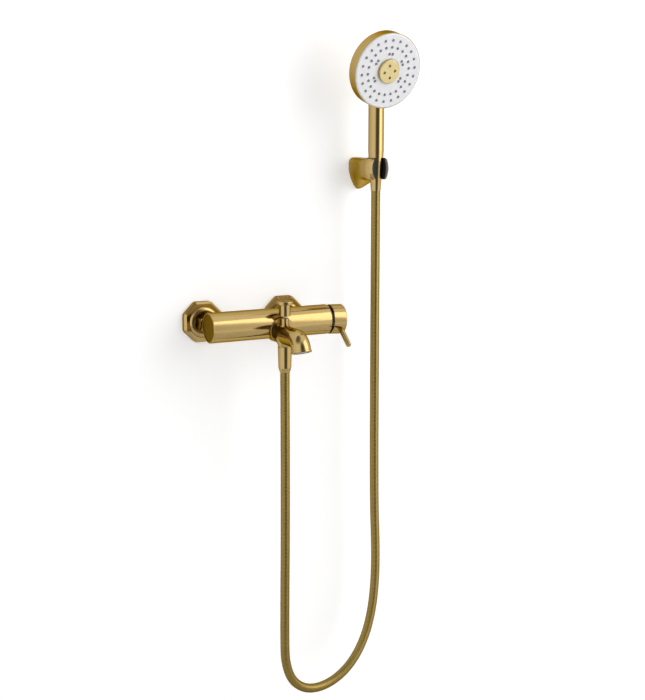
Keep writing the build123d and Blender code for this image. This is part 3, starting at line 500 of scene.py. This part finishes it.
def arm_reach(angle, distance):
    """Reach of the arm's section from its middle: (|sin|/a)^n + (|cos|/b)^n = 1/reach^n, with its own b and n
    above and below. The width a, and b and n below, pass from those at the wall to those at the cup by a
    smooth step in the distance."""
    way = smooth_step(distance, *arm_change)[:, None]
    above = (np.cos(angle) > 0)[None, :]
    a = shield_half_width + way * (cup_r - shield_half_width)
    drop = shield_drop + way * (cup_drop - shield_drop)
    power = shield_drop_power + way * (cup_drop_power - shield_drop_power)
    b = np.where(above, holder_top - holder_middle_z, drop)
    n = np.where(above, top_power, power)
    return ((np.abs(np.sin(angle)) / a) ** n + (np.abs(np.cos(angle)) / b) ** n) ** (-1 / n)


def barrel_reach(angle, distance):
    """Reach of the cup's section at a distance from the wall: the longest r whose point (r*sin, middle + r*cos)
    lies in |x| <= sqrt(R(z)^2 - beyond^2) between the cup's bottom and top, softened at the corners."""
    r = np.linspace(0.0, longest_reach, reach_steps)
    x = np.sin(angle)[None, :, None] * r
    z = holder_middle_z + np.cos(angle)[None, :, None] * r
    fall = np.where(
        z > cup_belly_z, (cup_r - cup_top_r) / (holder_top - cup_belly_z) ** 2,
        (cup_r - cup_bottom_r) / (cup_belly_z - cup_bottom) ** 2,
    )
    radius = cup_r - fall * (z - cup_belly_z) ** 2
    beyond = np.maximum(distance - holder_axis_d, 0.0)[:, None, None]
    inside = (x ** 2 + beyond ** 2 <= radius ** 2) & (z <= holder_top) & (z >= cup_bottom)
    reach = np.where(inside, r, 0.0).max(axis=2)
    for _ in range(corner_softening):
        reach = 0.25 * np.roll(reach, 1, axis=1) + 0.5 * reach + 0.25 * np.roll(reach, -1, axis=1)
    return reach


def upright_cutter(name, distance, low, high, low_r, high_r, sides):
    """Cone along Z: point(a, k) = (x + r(k)*sin(a), -distance + r(k)*cos(a), z(k)) for its two ends k."""
    angle = np.linspace(0.0, 2 * np.pi, sides, endpoint=False)
    rings = [
        np.stack([holder_x + r * np.sin(angle), -distance + r * np.cos(angle), z + 0 * angle], axis=1)
        for z, r in ((low, low_r), (high, high_r))
    ]
    return closed_block(name, np.array(rings))


def box_cutter(name, x_range, d_range, z_range):
    """Box from its ranges: across the holder, out of the wall and up."""
    left, right = x_range
    near, far = d_range
    corners = [(left, near), (left, far), (right, far), (right, near)]
    rings = [[(holder_x + x, -d, z) for x, d in corners] for z in z_range]
    return closed_block(name, np.array(rings))


def holder_cover():
    """Shell loft: at distance d the ring is (x + reach*sin(a), -d, middle + reach*cos(a)), where the reach
    passes from the arm's to the cup's by a smooth step in d."""
    arm_distance = np.linspace(0.0, holder_axis_d, arm_rings)
    mouth_distance = np.linspace(holder_axis_d, holder_mouth_d, mouth_rings)
    distance = np.concatenate([arm_distance, mouth_distance[1:]])
    angle = np.linspace(0.0, 2 * np.pi, holder_sides, endpoint=False)
    share = smooth_step(distance, *cup_change)[:, None]
    reach = (1 - share) * arm_reach(angle, distance) + share * barrel_reach(angle, distance)
    x = holder_x + reach * np.sin(angle)
    y = -distance[:, None] + 0 * reach
    z = holder_middle_z + reach * np.cos(angle)
    cover = closed_block("holder_cover", np.stack([x, y, z], axis=-1))
    low, high = cutter_bottom, cutter_top
    low_r = nut_r_at_seat + seat_play + nut_taper * (low - nut_seat_z)
    high_r = nut_r_at_seat + seat_play + nut_taper * (high - nut_seat_z)
    slot_x = (-slot_half_width, slot_half_width)
    hole_r = screw_hole_r
    cutters = [
        upright_cutter("seat_cutter", holder_axis_d, low, high, low_r, high_r, seat_sides),
        box_cutter("slot_cutter", slot_x, (holder_axis_d, slot_end_d), (low, high)),
        box_cutter("pocket_cutter", *pocket),
        upright_cutter("screw_cutter", screw_hole_d, low, screw_hole_top, hole_r, hole_r, screw_hole_sides),
    ]
    outward(cover)
    for cutter in cutters:
        outward(cutter)
        cut = cover.modifiers.new(cutter.name, "BOOLEAN")
        cut.operation = "DIFFERENCE"
        cut.solver = "EXACT"
        cut.object = cutter
    bpy.context.view_layer.update()
    worked_out = cover.evaluated_get(bpy.context.evaluated_depsgraph_get())
    cut_mesh = bpy.data.meshes.new_from_object(worked_out)
    cover.modifiers.clear()
    cover.data = cut_mesh
    for cutter in cutters:
        bpy.data.objects.remove(cutter)
    closed_triangles(cut_mesh)
    cut_mesh.polygons.foreach_set("use_smooth", np.ones(len(cut_mesh.polygons), bool))
    cut_mesh.set_sharp_from_angle(angle=sharp_from)
    cut_mesh.materials.clear()
    cut_mesh.materials.append(finish_of_slot["polished_brass"])
    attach(cover, "fixture")
    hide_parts("holder_shell")


holder_cover()


# Studio
wall_y = 0.0002
wall_top = 2.2
wall_reach = 2.6
wall_colour = (0.80, 0.80, 0.80)
wall_glow = 0.36
floor_z = -0.95
floor_front = -1.7
floor_back = 1.2
floor_colour = (0.78, 0.78, 0.78)
middle = (0.12, -0.06, -0.10)
world_light = 1.24


def stage_plane(name, corners, colour, glow):
    """A flat pale surface that isn't part of the object. Glow is what it adds where the camera or a gloss sees
    it, and it is clear from behind."""
    mesh = bpy.data.meshes.new(name)
    mesh.from_pydata(corners, [], [(0, 1, 2, 3)])
    plane = bpy.data.objects.new(name, mesh)
    bpy.context.scene.collection.objects.link(plane)
    made, tree_nodes, links, shader = finish(name)
    shader.inputs["Base Color"].default_value = (*colour, 1)
    shader.inputs["Roughness"].default_value = 0.9
    shader.inputs["Specular IOR Level"].default_value = 0.1
    shader.inputs["Emission Color"].default_value = (1, 1, 1, 1)
    rays = tree_nodes.new("ShaderNodeLightPath")
    seen = tree_nodes.new("ShaderNodeMath")
    seen.operation = "MAXIMUM"
    links.new(rays.outputs["Is Camera Ray"], seen.inputs[0])
    links.new(rays.outputs["Is Glossy Ray"], seen.inputs[1])
    through = tree_nodes.new("ShaderNodeMath")
    through.operation = "MAXIMUM"
    links.new(seen.outputs[0], through.inputs[0])
    links.new(rays.outputs["Is Transmission Ray"], through.inputs[1])
    level = tree_nodes.new("ShaderNodeMath")
    level.operation = "MULTIPLY"
    level.inputs[1].default_value = glow
    links.new(through.outputs[0], level.inputs[0])
    links.new(level.outputs[0], shader.inputs["Emission Strength"])
    clear = tree_nodes.new("ShaderNodeBsdfTransparent")
    side = tree_nodes.new("ShaderNodeNewGeometry")
    mix = tree_nodes.new("ShaderNodeMixShader")
    out = next(n for n in tree_nodes if n.type == "OUTPUT_MATERIAL")
    links.new(side.outputs["Backfacing"], mix.inputs["Fac"])
    links.new(shader.outputs["BSDF"], mix.inputs[1])
    links.new(clear.outputs["BSDF"], mix.inputs[2])
    links.new(mix.outputs["Shader"], out.inputs["Surface"])
    mesh.materials.append(made)
    return plane


def soft_box(name, place, aim, width, height, power):
    """A white rectangular lamp that faces the point aim."""
    lamp = bpy.data.lights.new(name, "AREA")
    lamp.shape = "RECTANGLE"
    lamp.size = width
    lamp.size_y = height
    lamp.energy = power
    box = bpy.data.objects.new(name, lamp)
    box.location = place
    box.rotation_mode = "QUATERNION"
    box.rotation_quaternion = (Vector(aim) - Vector(place)).to_track_quat("-Z", "Y")
    bpy.context.scene.collection.objects.link(box)


wall_corners = [
    (-wall_reach, wall_y, floor_z),
    (wall_reach, wall_y, floor_z),
    (wall_reach, wall_y, wall_top),
    (-wall_reach, wall_y, wall_top),
]
floor_corners = [
    (-wall_reach, floor_front, floor_z),
    (wall_reach, floor_front, floor_z),
    (wall_reach, floor_back, floor_z),
    (-wall_reach, floor_back, floor_z),
]
wall = stage_plane("wall", wall_corners, wall_colour, wall_glow)
wall.visible_shadow = False
stage_plane("floor", floor_corners, floor_colour, 0.0)
soft_box("key_box", (1.85, -1.75, 1.05), middle, width=2.0, height=2.6, power=26.0)


def dim_part(tree_nodes, links, middle_way, squeeze, left_over, near, far):
    """A share of the world's light: left_over within near degrees of the direction middle_way, all of it beyond
    far degrees. Heights are squeezed before the angle is taken, so that the dim part stands taller than it is
    wide."""
    aim = tree_nodes.new("ShaderNodeTexCoord")
    flatter = tree_nodes.new("ShaderNodeVectorMath")
    flatter.operation = "MULTIPLY"
    flatter.inputs[1].default_value = (1, 1, squeeze)
    unit = tree_nodes.new("ShaderNodeVectorMath")
    unit.operation = "NORMALIZE"
    facing = tree_nodes.new("ShaderNodeVectorMath")
    facing.operation = "DOT_PRODUCT"
    x, y, z = middle_way
    facing.inputs[1].default_value = Vector((x, y, squeeze * z)).normalized()
    links.new(aim.outputs["Generated"], flatter.inputs[0])
    links.new(flatter.outputs["Vector"], unit.inputs[0])
    links.new(unit.outputs["Vector"], facing.inputs[0])
    spread = tree_nodes.new("ShaderNodeMapRange")
    spread.interpolation_type = "SMOOTHSTEP"
    spread.inputs["From Min"].default_value = math.cos(math.radians(far))
    spread.inputs["From Max"].default_value = math.cos(math.radians(near))
    spread.inputs["To Min"].default_value = 1.0
    spread.inputs["To Max"].default_value = left_over
    links.new(facing.outputs["Value"], spread.inputs["Value"])
    return spread.outputs["Result"]


def product(tree_nodes, links, first, second):
    """The socket with first times second, each a socket or a number."""
    times = tree_nodes.new("ShaderNodeMath")
    times.operation = "MULTIPLY"
    for socket, value in zip(times.inputs, (first, second)):
        if isinstance(value, float):
            socket.default_value = value
        else:
            links.new(value, socket)
    return times.outputs[0]


def studio_world(bright):
    """White light from all round, dimmed in front, where the room behind the camera is, and high on the left."""
    made = bpy.data.worlds.new("studio")
    made.use_nodes = True
    tree_nodes, links = made.node_tree.nodes, made.node_tree.links
    room = dim_part(
        tree_nodes, links, (-0.15, -0.98, 0.05), squeeze=0.38, left_over=0.10, near=11.0, far=39.0,
    )
    upper_left = dim_part(
        tree_nodes, links, (-0.45, 0.00, 0.89), squeeze=1.0, left_over=0.15, near=14.0, far=40.0,
    )
    both = product(tree_nodes, links, room, upper_left)
    background = tree_nodes["Background"]
    background.inputs["Color"].default_value = (1, 1, 1, 1)
    links.new(product(tree_nodes, links, both, bright), background.inputs["Strength"])
    return made


bpy.context.scene.world = studio_world(world_light)

lens = bpy.data.cameras.new("camera")
lens.lens = camera_lens
lens.sensor_width = camera_sensor
lens.clip_end = camera_far
camera = bpy.data.objects.new("camera", lens)
camera.location = camera_place
camera.rotation_mode = "QUATERNION"
camera.rotation_quaternion = camera_look.to_track_quat("-Z", "Y")
bpy.context.scene.collection.objects.link(camera)
bpy.context.scene.camera = camera
bpy.context.scene.view_settings.view_transform = "Standard"
